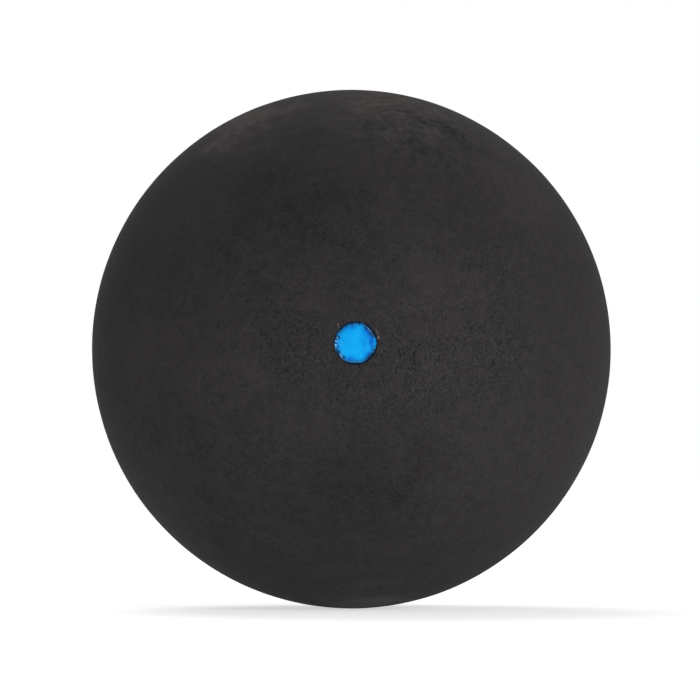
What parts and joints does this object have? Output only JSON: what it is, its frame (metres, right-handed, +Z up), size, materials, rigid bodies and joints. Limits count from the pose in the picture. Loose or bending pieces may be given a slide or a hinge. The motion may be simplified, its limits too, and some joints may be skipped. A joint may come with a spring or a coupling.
{
  "type": "squash ball",
  "caption": "Hollow matt rubber court ball of regulation size, moulded as half shells cemented rim to rim, with a round coloured speed dot at one pole.",
  "frame": {"origin": "centre of the ball", "axes": "-Y from the centre through the coloured dot, +Z up; the seam lies in the XZ plane"},
  "size_m": [0.04, 0.04, 0.04],
  "materials": {
    "rubber": "matte",
    "cement": "matte",
    "dot_ink": "satin"
  },
  "bodies": {
    "root": {"front_half_shell": "rubber", "rear_half_shell": "rubber", "seam_cement": "cement", "speed_dot": "dot_ink"}
  },
  "joints": []
}
